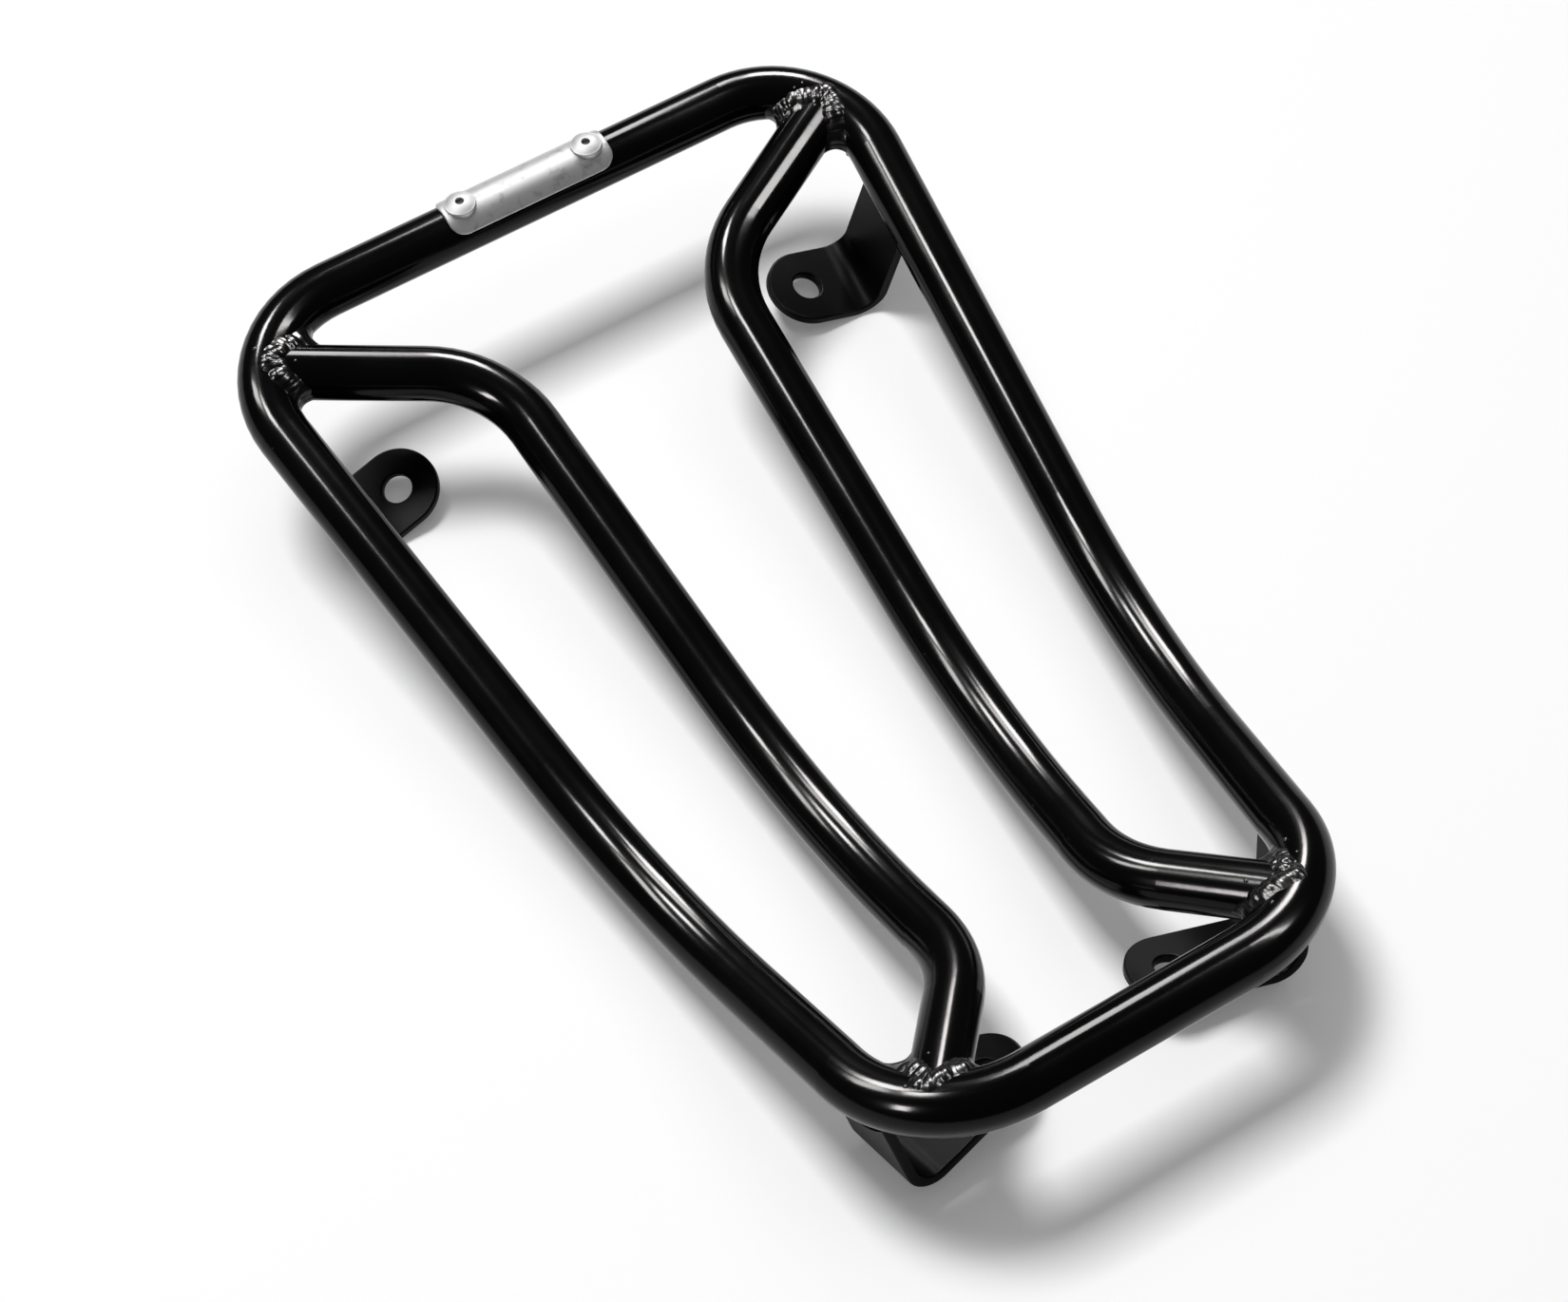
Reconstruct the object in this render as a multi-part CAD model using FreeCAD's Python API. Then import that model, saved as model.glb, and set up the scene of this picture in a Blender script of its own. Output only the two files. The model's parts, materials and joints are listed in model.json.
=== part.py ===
import FreeCAD, Part
import math
import os

# Scooter luggage rack: a closed frame of bent tube with two inner rails, on four bent strip legs.
# X runs across the rack, +Y points to the wide end with the badge plate and +Z points up.
# The origin lies midway between the two ends, in the plane that the legs stand on.

# Tube of the frame and the rails
tube_d = 16.0
tube_wall = 1.5

# Outer frame, measured on the tube's centre line at corners not yet rounded
frame_length = 318.0           # wide end to narrow end, level
wide_width = 206.0
fold_width = 156.0
narrow_width = 128.0
fold_from_wide = 205.0         # wide end to the fold, level
wide_height = 57.5             # above the ground
narrow_height = 54.5
fold_height = 19.0
wide_corner_r = 33.0
narrow_corner_r = 36.0
fold_r = 184.0

# Inner rails, centre line
wide_knee_gap = 72.0           # rail to rail
fold_gap = 55.5
narrow_knee_gap = 47.5
wide_knee_from_end = 46.0      # level
narrow_knee_from_end = 44.5
wide_knee_r = 37.0
narrow_knee_r = 38.0
rail_drop = 2.5                # how far the rails lie below the frame
wide_joint_share = 0.60        # where a rail meets the wide corner's bend, from the end tube on
narrow_joint_share = 0.47      # the same at the narrow corner

# Legs
strip_width = 25.0
strip_thick = 3.0
strip_bend_r = 6.0             # inside radius of the bend
web_lean = 9.0                 # degrees inwards from the frame's own upright
foot_rise = 15.5               # degrees upwards, towards the middle
bolt_hole_d = 9.0
wide_leg_from_end = 49.3       # wide end's tube to the middle of the leg, level
wide_foot_reach = 19.7         # bend to bolt hole
narrow_leg_from_end = 30.4
narrow_foot_reach = 33.1

# Welds
bead_on_frame = 1.8            # height of a rail's bead over the frame's tube
bead_on_rail = 2.4             # and over the rail
leg_bead = 2.0                 # spread of a leg's bead over strip and tube

# Badge plate and its blind rivets
badge_length = 54.0
badge_thick = 1.0
badge_wrap = 60.0              # degrees round the tube, each way from the top
badge_corner_r = 5.0
rivet_spacing = 42.0
rivet_shank_d = 4.0
rivet_hole_clear = 0.1         # between shank and hole, radial
rivet_head_d = 9.5
rivet_head_h = 1.8             # dome above the plate's crown
rivet_rim_h = 0.5              # rim of the dome above the plate's crown
rivet_bulb_d = 5.8             # set end inside the tube
rivet_bulb_h = 3.2
stem_d = 2.3
stem_clear = 0.05
stem_recess = 1.2              # broken end of the stem below the top of the dome
stem_head_d = 3.6
stem_head_h = 1.2

tube_r = tube_d / 2
bore_r = tube_r - tube_wall
wide_y = frame_length / 2
narrow_y = -frame_length / 2
fold_y = wide_y - fold_from_wide
V = FreeCAD.Vector
UP = V(0, 0, 1)


def between(start, end, y):
    """Point at the given y on the line through two points."""
    return start + (end - start) * ((y - start.y) / (end.y - start.y))


def mirrored(shape):
    return shape.mirror(V(0, 0, 0), V(1, 0, 0))


class Run:
    """Straight stretch of a tube."""

    def __init__(self, start, end):
        self.start = start
        self.end = end

    def rod(self, radius):
        axis = self.end - self.start
        return Part.makeCylinder(radius, axis.Length, self.start, axis)


class Bend:
    """Round bend of a tube between two straight stretches, tangent to both."""

    def __init__(self, before, corner, after, radius):
        self.heading = (corner - before).normalize()
        leaving = (after - corner).normalize()
        turn = self.heading.getAngle(leaving)
        tangent = radius * math.tan(turn / 2)
        self.turn = math.degrees(turn)
        self.axis = self.heading.cross(leaving).normalize()
        self.start = corner - self.heading * tangent
        self.end = corner + leaving * tangent
        self.centre = self.start + self.axis.cross(self.heading) * radius

    def rod(self, radius):
        section = Part.Face(Part.Wire(Part.makeCircle(radius, self.start, self.heading)))
        return section.revolve(self.centre, self.axis, self.turn)

    def at(self, share):
        """Point on the centre line after a share of the bend."""
        return self.centre + FreeCAD.Rotation(self.axis, self.turn * share).multVec(self.start - self.centre)


def bent_path(corners, radii, closed):
    """Runs and bends of a tube through the corners. A closed path starts midway on its last side."""
    count = len(corners)
    if closed:
        first = (corners[-1] + corners[0]) * 0.5
        points = [corners[-1]] + corners + [corners[0]]
        last = first
    else:
        first, last = corners[0], corners[-1]
        points = corners
        count -= 2
    path = []
    here = first
    for number in range(count):
        bend = Bend(points[number], points[number + 1], points[number + 2], radii[number])
        path += [Run(here, bend.start), bend]
        here = bend.end
    return path + [Run(here, last)]


def rod_along(path, radius):
    rods = [stretch.rod(radius) for stretch in path]
    return rods[0].multiFuse(rods[1:]).removeSplitter()


# Centre line of the frame, once round from the middle of the wide end
wide_right = V(wide_width / 2, wide_y, wide_height)
fold_right = V(fold_width / 2, fold_y, fold_height)
narrow_right = V(narrow_width / 2, narrow_y, narrow_height)
right_side = [wide_right, fold_right, narrow_right]
left_side = [V(-corner.x, corner.y, corner.z) for corner in reversed(right_side)]
side_radii = [wide_corner_r, fold_r, narrow_corner_r]
frame_path = bent_path(right_side + left_side, side_radii + side_radii[::-1], True)
frame_bends = [stretch for stretch in frame_path if isinstance(stretch, Bend)]
wide_bend, narrow_bend = frame_bends[0], frame_bends[2]
frame_rod = rod_along(frame_path, tube_r)
badge_axis = V(0, wide_y, wide_height)


def rivet_places():
    aside = V(rivet_spacing / 2, 0, 0)
    return {"left": badge_axis - aside, "right": badge_axis + aside}


def rivet_holes():
    radius = rivet_shank_d / 2 + rivet_hole_clear
    holes = [Part.makeCylinder(radius, tube_d, place) for place in rivet_places().values()]
    return Part.makeCompound(holes)


def outer_frame():
    return frame_rod.cut(rod_along(frame_path, bore_r)).cut(rivet_holes())


# Right rail: from the wide corner's bend over the fold to the narrow corner's bend
def rail_corner(gap, y, above, below):
    level = between(above, below, y).z - rail_drop
    return V(gap / 2, y, level)


wide_joint = wide_bend.at(wide_joint_share)
narrow_joint = narrow_bend.at(1 - narrow_joint_share)
rail_corners = [
    wide_joint,
    rail_corner(wide_knee_gap, wide_y - wide_knee_from_end, wide_right, fold_right),
    V(fold_gap / 2, fold_y, fold_height - rail_drop),
    rail_corner(narrow_knee_gap, narrow_y + narrow_knee_from_end, fold_right, narrow_right),
    narrow_joint,
]
rail_path = bent_path(rail_corners, [wide_knee_r, fold_r, narrow_knee_r], False)
rail_rod = rod_along(rail_path, tube_r)


def inner_rail():
    """Bent tube, its ends coped to the round of the frame."""
    return rail_rod.cut(rod_along(rail_path, bore_r)).cut(frame_rod)


def rail_weld(corner_bend, joint, inner_end):
    """Bead along the seam: all that is close to both tubes and in neither."""
    heading = (joint - inner_end).normalize()
    over_rail = Run(inner_end, joint + heading * bead_on_rail).rod(tube_r + bead_on_rail)
    bead = corner_bend.rod(tube_r + bead_on_frame).common(over_rail)
    return bead.cut(corner_bend.rod(tube_r)).cut(Run(inner_end, joint).rod(tube_r))


class Leg:
    """Left leg: a strip that drops from the side tube to the ground, then turns inwards to its foot."""

    def __init__(self, tube_point, along, section_normal, reach):
        self.along = along
        self.normal = section_normal
        self.inwards = along.cross(section_normal).normalize()
        self.origin = tube_point
        lean, rise = math.radians(web_lean), math.radians(foot_rise)
        # In the strip's own section: x points inwards, z along the frame's upright
        self.web_dir = V(math.sin(lean), 0, -math.cos(lean))
        self.foot_dir = V(math.cos(rise), 0, math.sin(rise))
        self.web_inside = V(math.cos(lean), 0, math.sin(lean))
        self.foot_top = V(-math.sin(rise), 0, math.cos(rise))
        self.to_inside = (self.foot_dir - self.web_dir).normalize()
        self.half_bend_sine = math.sin(self.web_dir.negative().getAngle(self.foot_dir) / 2)
        self.bend = self.web_dir * self.web_length()
        self.hole = self.bend + self.foot_dir * reach

    def place(self, point):
        return self.origin + self.inwards * point.x + self.along * point.y + self.normal * point.z

    def web_length(self):
        """Length of the web's middle plane, from the tube's axis to the bend, that reaches the ground."""
        outside_r = strip_bend_r + strip_thick
        bend_axis = self.to_inside * ((strip_bend_r + strip_thick / 2) / self.half_bend_sine)
        low_end = V(0, -math.copysign(strip_width / 2, self.along.z), 0)
        height = self.place(bend_axis + low_end).z - outside_r * math.sqrt(1 - self.along.z ** 2)
        fall = self.origin.z - self.place(self.web_dir).z
        return height / fall

    def upright(self, shape):
        """Carries a shape from the strip's own section to its place on the frame."""
        placed = shape.copy()
        rotation = FreeCAD.Rotation(self.inwards, self.along, self.normal, "ZXY")
        placed.Placement = FreeCAD.Placement(self.origin, rotation).multiply(placed.Placement)
        return placed

    def strip(self):
        half = strip_thick / 2
        corner = self.to_inside * (half / self.half_bend_sine)
        outline = [
            self.web_inside * -half,
            self.bend - corner,
            self.hole - self.foot_top * half,
            self.hole + self.foot_top * half,
            self.bend + corner,
            self.web_inside * half,
        ]
        across = V(0, strip_width, 0)
        section = Part.Face(Part.makePolygon(outline + outline[:1]))
        blank = section.extrude(across)
        bends = ((self.bend - corner, strip_bend_r + strip_thick), (self.bend + corner, strip_bend_r))
        for point, radius in bends:
            middle = point + across * 0.5
            near = strip_thick / 10
            edges = [edge for edge in blank.Edges if edge.CenterOfMass.distanceToPoint(middle) < near]
            blank = blank.makeFillet(radius, edges)
        blank.translate(across * -0.5)
        under_hole = self.hole - self.foot_top * half
        round_end = Part.makeCylinder(strip_width / 2, strip_thick, under_hole, self.foot_top)
        bolt_hole = Part.makeCylinder(bolt_hole_d / 2, strip_thick, under_hole, self.foot_top)
        return blank.fuse(round_end).cut(bolt_hole).removeSplitter()

    def web_block(self, spread):
        """Upper part of the web, grown by a spread on its faces and edges."""
        thick, wide = strip_thick + 2 * spread, strip_width + 2 * spread
        block = Part.makeBox(thick, wide, tube_d, V(-thick / 2, -wide / 2, -tube_d))
        block.rotate(V(0, 0, 0), V(0, 1, 0), -web_lean)
        return block

    def solid(self):
        return self.upright(self.strip()).cut(frame_rod)

    def weld(self):
        """Bead round the strip's end, where web and tube are both within the bead's spread."""
        tube_near = rod_along(frame_path, tube_r + leg_bead)
        return self.upright(self.web_block(leg_bead)).common(tube_near).cut(frame_rod).cut(self.solid())


def side_leg(from_corner, to_corner, y, reach):
    """Leg under the left side tube, between two corners of the frame with the first nearer the wide end."""
    start = V(-from_corner.x, from_corner.y, from_corner.z)
    end = V(-to_corner.x, to_corner.y, to_corner.z)
    along = (start - end).normalize()
    section_normal = V(1, 0, 0).cross(start - end).normalize()
    return Leg(between(start, end, y), along, section_normal, reach)


def badge_corners():
    """What is trimmed off the plate's four corners to round them, each seen square on to the plate."""
    outside = tube_r + badge_thick
    round_angle = badge_wrap - math.degrees(math.asin(badge_corner_r / outside))
    trims = []
    for end in (-1, 1):
        for side in (-1, 1):
            low = V(min(end, 0) * tube_d, min(side, 0) * tube_d, 0)
            trim = Part.makeBox(tube_d, tube_d, tube_d, low).cut(Part.makeCylinder(badge_corner_r, tube_d))
            trim.rotate(V(0, 0, 0), V(1, 0, 0), -side * round_angle)
            trim.translate(badge_axis + V(end * (badge_length / 2 - badge_corner_r), 0, 0))
            trims.append(trim)
    return trims


def badge_plate():
    """Thin plate bent over the top of the wide end."""
    half, inside, outside = badge_length / 2, tube_r, tube_r + badge_thick
    section = [V(-half, 0, inside), V(half, 0, inside), V(half, 0, outside), V(-half, 0, outside)]
    blank = Part.Face(Part.makePolygon(section + section[:1]))
    blank.rotate(V(0, 0, 0), V(1, 0, 0), -badge_wrap)
    blank.translate(badge_axis)
    plate = blank.revolve(badge_axis, V(1, 0, 0), 2 * badge_wrap)
    return plate.cut(badge_corners()).cut(rivet_holes())


def turned(profile, place):
    """Solid of revolution about the upright through a place, from (radius, height) points."""
    points = [place + V(radius, 0, height) for radius, height in profile]
    return Part.Face(Part.makePolygon(points + points[:1])).revolve(place, UP, 360)


def along_badge(radius):
    return Part.makeCylinder(radius, badge_length, badge_axis - V(badge_length / 2, 0, 0), V(1, 0, 0))


def rivet(place):
    """Blind rivet: domed head saddled on the plate, shank through plate and tube, set bulb inside."""
    crown = tube_r + badge_thick
    head_r, hole_r = rivet_head_d / 2, stem_d / 2 + stem_clear
    rise = rivet_head_h - rivet_rim_h
    dome_r = (head_r ** 2 + rise ** 2) / (2 * rise)
    dome = Part.makeSphere(dome_r, place + V(0, 0, crown + rivet_head_h - dome_r))
    head = Part.makeCylinder(head_r, crown + rivet_head_h, place).common(dome.fuse(
        Part.makeCylinder(head_r, crown + rivet_rim_h, place)))
    shank = Part.makeCylinder(rivet_shank_d / 2, crown + rivet_rim_h - bore_r + rivet_bulb_h,
                              place + V(0, 0, bore_r - rivet_bulb_h))
    bulb = Part.makeCylinder(rivet_bulb_d / 2, rivet_bulb_h, place + V(0, 0, bore_r - rivet_bulb_h))
    body = head.cut(along_badge(crown)).fuse([shank, bulb.common(along_badge(bore_r))])
    return body.cut(Part.makeCylinder(hole_r, tube_d, place)).removeSplitter()


def rivet_stem(place):
    """Rest of the pulled stem: its head under the bulb, its broken end inside the rivet's head."""
    seat = bore_r - rivet_bulb_h
    top = tube_r + badge_thick + rivet_head_h - stem_recess
    profile = [(0, seat - stem_head_h), (stem_head_d / 2, seat - stem_head_h), (stem_head_d / 2, seat),
               (stem_d / 2, seat), (stem_d / 2, top), (0, top)]
    return turned(profile, place)


wide_leg = side_leg(wide_right, fold_right, wide_y - wide_leg_from_end, wide_foot_reach)
narrow_leg = side_leg(fold_right, narrow_right, narrow_y + narrow_leg_from_end, narrow_foot_reach)
rail = inner_rail()
wide_weld = rail_weld(wide_bend, wide_joint, rail_path[0].end)
narrow_weld = rail_weld(narrow_bend, narrow_joint, rail_path[-1].start)

nodes = {
    "outer_frame": outer_frame(),
    "inner_rail_right": rail,
    "inner_rail_left": mirrored(rail),
    "rail_weld_wide_right": wide_weld,
    "rail_weld_wide_left": mirrored(wide_weld),
    "rail_weld_narrow_right": narrow_weld,
    "rail_weld_narrow_left": mirrored(narrow_weld),
    "badge_plate": badge_plate(),
}
for end_name, leg in (("wide", wide_leg), ("narrow", narrow_leg)):
    nodes[f"{end_name}_leg_left"] = leg.solid()
    nodes[f"{end_name}_leg_right"] = mirrored(leg.solid())
    nodes[f"leg_weld_{end_name}_left"] = leg.weld()
    nodes[f"leg_weld_{end_name}_right"] = mirrored(leg.weld())
for side_name, place in rivet_places().items():
    nodes[f"rivet_{side_name}"] = rivet(place)
    nodes[f"rivet_stem_{side_name}"] = rivet_stem(place)

os.makedirs("parts", exist_ok=True)
for name, shape in nodes.items():
    shape.exportStep(f"parts/{name}.step")
    print(name, len(shape.Solids), round(shape.Volume, 1), shape.isValid())
for end_name, leg in (("wide", wide_leg), ("narrow", narrow_leg)):
    hole, axis = leg.place(leg.hole), leg.place(leg.foot_top) - leg.origin
    print(end_name, "bolt hole, left", tuple(round(v, 4) for v in hole), tuple(round(v, 6) for v in axis))
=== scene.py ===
import json
import math

import bpy
import numpy as np
from mathutils import Matrix, Vector


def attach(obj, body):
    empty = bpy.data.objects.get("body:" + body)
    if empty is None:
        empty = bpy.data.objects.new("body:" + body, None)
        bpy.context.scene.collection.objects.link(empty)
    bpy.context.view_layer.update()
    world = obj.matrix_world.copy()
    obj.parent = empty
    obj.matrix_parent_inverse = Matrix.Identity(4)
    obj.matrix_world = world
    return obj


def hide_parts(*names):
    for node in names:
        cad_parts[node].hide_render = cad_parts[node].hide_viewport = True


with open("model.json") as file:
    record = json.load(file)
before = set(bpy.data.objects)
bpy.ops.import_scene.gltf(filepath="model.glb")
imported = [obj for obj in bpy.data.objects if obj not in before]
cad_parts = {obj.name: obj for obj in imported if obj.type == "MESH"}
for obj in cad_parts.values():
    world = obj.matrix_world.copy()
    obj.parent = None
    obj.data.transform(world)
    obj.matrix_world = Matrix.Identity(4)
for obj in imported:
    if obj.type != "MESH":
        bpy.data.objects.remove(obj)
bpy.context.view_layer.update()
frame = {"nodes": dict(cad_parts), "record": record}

nodes = frame["nodes"]
print("frame loaded with", len(nodes), "nodes")

# Shapes are worked out in mm in the rack's own frame: +Y to the wide end, +Z up, ground at 0
mm = 0.001
mirrorX = np.array([-1.0, 1.0, 1.0])

tubes = {
    "radius": 8.0,
    "wideCorner": np.array([103.0, 159.0, 57.5]),
    "foldCorner": np.array([78.0, -46.0, 19.0]),
    "narrowCorner": np.array([64.0, -159.0, 54.5]),
    "wideCornerR": 33.0,
    "narrowCornerR": 36.0,
    "wideKnee": (36.0, 113.0),        # x and y of the rail's corner
    "narrowKnee": (23.75, -114.5),
    "railDrop": 2.5,                  # rails lie this far below the frame
    "wideJoint": 0.60,                # share of the corner's bend, from the end tube on
    "narrowJoint": 0.47,
}


def unit(v):
    return v / np.linalg.norm(v, axis=-1, keepdims=True)


def lineAt(start, end, y):            # point of a straight line at a given y
    return start + (end - start) * ((y - start[1]) / (end[1] - start[1]))


def bendBetween(before, corner, after, radius):   # round bend, tangent to both stretches
    heading, leaving = unit(corner - before), unit(after - corner)
    turn = math.acos(heading @ leaving)
    start = corner - heading * radius * math.tan(turn / 2)
    axis = unit(np.cross(heading, leaving))
    return {"centre": start + np.cross(axis, heading) * radius, "axis": axis, "start": start,
            "turn": turn, "radius": radius}


def bendAt(bend, share):              # start point turned about the bend's axis
    d, a = bend["start"] - bend["centre"], bend["turn"] * share
    return bend["centre"] + d * math.cos(a) + np.cross(bend["axis"], d) * math.sin(a)


def nearOnBend(bend, p):              # direction from the centre, laid flat, times the bend's radius
    d = p - bend["centre"]
    flat = d - (d @ bend["axis"])[..., None] * bend["axis"]
    return bend["centre"] + unit(flat) * bend["radius"]


def nearOnLine(start, heading, p):
    return start + ((p - start) @ heading)[..., None] * heading


def railKnee(spot, start, end):       # the rail's corner, below the frame's side tube
    x, y = spot
    return np.array([x, y, lineAt(start, end, y)[2] - tubes["railDrop"]])


wide, fold, narrow = tubes["wideCorner"], tubes["foldCorner"], tubes["narrowCorner"]
wideBend = bendBetween(wide * mirrorX, wide, fold, tubes["wideCornerR"])
narrowBend = bendBetween(fold, narrow, narrow * mirrorX, tubes["narrowCornerR"])
wideJoint = bendAt(wideBend, tubes["wideJoint"])
narrowJoint = bendAt(narrowBend, 1 - tubes["narrowJoint"])
wideKnee = railKnee(tubes["wideKnee"], wide, fold)
narrowKnee = railKnee(tubes["narrowKnee"], fold, narrow)


# Materials: a socket that can be added and multiplied, and one method for every other node
class Wire:
    def __init__(self, tree, socket=None):
        self.tree, self.socket = tree, socket

    def node(self, kind, settings=None, inputs=None, output=0):
        made = self.tree.nodes.new("ShaderNode" + kind)
        for key, value in (settings or {}).items():
            setattr(made, key, value)
        for key, value in (inputs or {}).items():
            if isinstance(value, Wire):
                self.tree.links.new(value.socket, made.inputs[key])
            else:
                made.inputs[key].default_value = value
        return Wire(self.tree, made.outputs[output])

    def math(self, operation, first, second):
        return self.node("Math", {"operation": operation}, {0: first, 1: second})

    def __add__(self, other):
        return self.math("ADD", self, other)

    def __radd__(self, other):
        return self.math("ADD", other, self)

    def __sub__(self, other):
        return self.math("SUBTRACT", self, other)

    def __rsub__(self, other):
        return self.math("SUBTRACT", other, self)

    def __mul__(self, other):
        return self.math("MULTIPLY", self, other)

    def __rmul__(self, other):
        return self.math("MULTIPLY", other, self)

    def __gt__(self, other):
        return self.math("GREATER_THAN", self, other)

    def __lt__(self, other):
        return self.math("LESS_THAN", self, other)

    def noise(self, place, scale, detail=2.0):    # 0 to 1, about 1/scale metres across
        return self.node("TexNoise", {}, {"Vector": place, "Scale": scale, "Detail": detail}, "Fac")

    def blend(self, share, first, second):        # colour between two colours
        return self.node("Mix", {"data_type": "RGBA"}, {0: share, 6: first, 7: second}, 2)

    def bump(self, height):                       # height in metres
        return self.node("Bump", {}, {"Height": height, "Distance": 1.0, "Strength": 1.0})

    def stretched(self, place, scale):
        return self.node("Mapping", {}, {"Vector": place, "Scale": scale})


def newMaterial(name, constants):     # constants go straight on the shader's own sockets
    material = bpy.data.materials.new(name)
    material.use_nodes = True
    shader = material.node_tree.nodes["Principled BSDF"]
    for key, value in constants.items():
        shader.inputs[key].default_value = value
    return material, Wire(material.node_tree), shader


def feed(wire, shader, **sockets):
    for key, value in sockets.items():
        wire.tree.links.new(value.socket, shader.inputs[key.replace("_", " ")])


paintLook = {
    "black": (0.0010, 0.0010, 0.0012, 1), "blackWorn": (0.0024, 0.0024, 0.0025, 1),
    "dust": (0.16, 0.155, 0.15, 1),
    "tube": {"ior": 1.22, "roughness": 0.14},
    "leg": {"ior": 1.14, "roughness": 0.38},
    "weld": {"ior": 1.35, "roughness": 0.24},
    "cloudScale": 34.0, "roughnessSpread": 0.10,  # slow change of shade and gloss
    "peelScale": 620.0, "peelHeight": 6e-6,       # orange peel, about 1.6 mm
    "waveScale": 110.0, "waveHeight": 2.2e-5,     # slow unevenness of the coat
    "dustScale": 260.0, "dustSize": 0.035, "dustShare": 0.86,     # a nib in one cell of seven
    "dustHeight": 4e-5, "dustCover": 0.55, "dustRoughness": 0.25,
}


def blackPaint(name, ior, roughness):
    look = paintLook
    material, w, shader = newMaterial(name, {"IOR": ior})
    place = w.node("TexCoord", output="Object")
    peel = w.noise(place, look["peelScale"])
    wave = w.noise(place, look["waveScale"], 1.0)
    cloud = w.noise(place, look["cloudScale"], 3.0)
    cells = {"Vector": place, "Scale": look["dustScale"]}
    speck = w.node("TexVoronoi", {}, cells, "Distance")
    chance = w.node("TexVoronoi", {}, cells, "Color")
    pick = w.node("SeparateColor", {}, {"Color": chance}, 0)
    dust = (speck < look["dustSize"]) * (pick > look["dustShare"])
    shade = w.blend(cloud, look["black"], look["blackWorn"])
    height = peel * look["peelHeight"] + wave * look["waveHeight"] + dust * look["dustHeight"]
    feed(w, shader, Base_Color=w.blend(dust * look["dustCover"], shade, look["dust"]), Normal=w.bump(height),
         Roughness=roughness + (cloud - 0.5) * look["roughnessSpread"] + dust * look["dustRoughness"])
    return material


badgeLook = {
    "bright": (0.88, 0.88, 0.87, 1), "dull": (0.60, 0.60, 0.60, 1), "stain": (0.34, 0.34, 0.34, 1),
    "roughness": 0.44,
    "grain": (60.0, 5200.0, 5200.0), "grainHeight": 1.6e-6,           # brushed along the plate
    "grainDull": 0.45, "grainRoughness": 0.14,
    "cloudScale": 90.0, "cloudDull": 0.25, "cloudRoughness": 0.08,
    "mottleScale": 330.0, "mottleHeight": 1.4e-5,                     # handling marks, about 3 mm
    "stainFrom": 0.56, "stainSpread": 3.2,
}


def satinAluminium():
    look = badgeLook
    material, w, shader = newMaterial("badgeSatinAluminium", {"Metallic": 1.0})
    place = w.node("TexCoord", output="Object")
    grain = w.noise(w.stretched(place, look["grain"]), 1.0, 3.0)
    cloud = w.noise(place, look["cloudScale"], 3.0)
    mottle = w.noise(place, look["mottleScale"], 4.0)
    height = grain * look["grainHeight"] + mottle * look["mottleHeight"]
    worn = w.blend(grain * look["grainDull"] + cloud * look["cloudDull"], look["bright"], look["dull"])
    stain = w.math("MAXIMUM", (mottle - look["stainFrom"]) * look["stainSpread"], 0.0)
    roughness = look["roughness"] + grain * look["grainRoughness"] + (cloud - 0.5) * look["cloudRoughness"]
    shade = w.blend(stain, worn, look["stain"])
    feed(w, shader, Base_Color=shade, Normal=w.bump(height), Roughness=roughness)
    return material


rivetLook = {
    "bright": (0.90, 0.90, 0.89, 1), "dull": (0.72, 0.72, 0.73, 1), "roughness": 0.42,
    "markScale": 1400.0, "markHeight": 5e-6, "markRoughness": 0.12,
    "cloudScale": 300.0, "cloudDull": 0.8, "cloudRoughness": 0.08,
}


def rivetAluminium():
    look = rivetLook
    material, w, shader = newMaterial("rivetBrightAluminium", {"Metallic": 1.0})
    place = w.node("TexCoord", output="Object")
    mark = w.noise(place, look["markScale"], 3.0)
    cloud = w.noise(place, look["cloudScale"], 2.0)
    shade = w.blend(cloud * look["cloudDull"], look["bright"], look["dull"])
    feed(w, shader, Base_Color=shade, Normal=w.bump(mark * look["markHeight"]),
         Roughness=look["roughness"] + mark * look["markRoughness"] + cloud * look["cloudRoughness"])
    return material


stemLook = {
    "steel": (0.20, 0.195, 0.19, 1), "stain": (0.05, 0.045, 0.042, 1), "roughness": 0.38,
    "stainScale": 900.0, "stainRoughness": 0.3,
    "tornScale": 3500.0, "tornHeight": 9e-5,      # where the stem broke off
}


def stemSteel():
    look = stemLook
    material, w, shader = newMaterial("stemDullSteel", {"Metallic": 1.0})
    place = w.node("TexCoord", output="Object")
    stain = w.noise(place, look["stainScale"], 3.0)
    torn = w.noise(place, look["tornScale"], 3.0)
    shade = w.blend(stain, look["steel"], look["stain"])
    feed(w, shader, Base_Color=shade, Normal=w.bump(torn * look["tornHeight"]),
         Roughness=look["roughness"] + stain * look["stainRoughness"])
    return material


finishes = {"black_paint": blackPaint("rackGlossPaint", **paintLook["tube"]),
            "badge_aluminium": satinAluminium(),
            "rivet_aluminium": rivetAluminium(), "rivet_steel": stemSteel()}
legPaint = blackPaint("legSatinPaint", **paintLook["leg"])
weldPaint = blackPaint("weldRoughPaint", **paintLook["weld"])
lit = {"paint": bpy.data.collections.new("paintedPieces"), "metal": bpy.data.collections.new("barePieces")}


def litAs(thing, slot):               # gloss paint and bare metal have softboxes of their own
    lit["paint" if slot == "black_paint" else "metal"].objects.link(thing)


for row in frame["record"]["subparts"]:
    solid = nodes[row["node"]]
    solid.data.materials.clear()
    solid.data.materials.append(finishes[row["material_slot"]])
    litAs(solid, row["material_slot"])
print("finishes:", ", ".join(m.name for m in finishes.values()))


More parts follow.
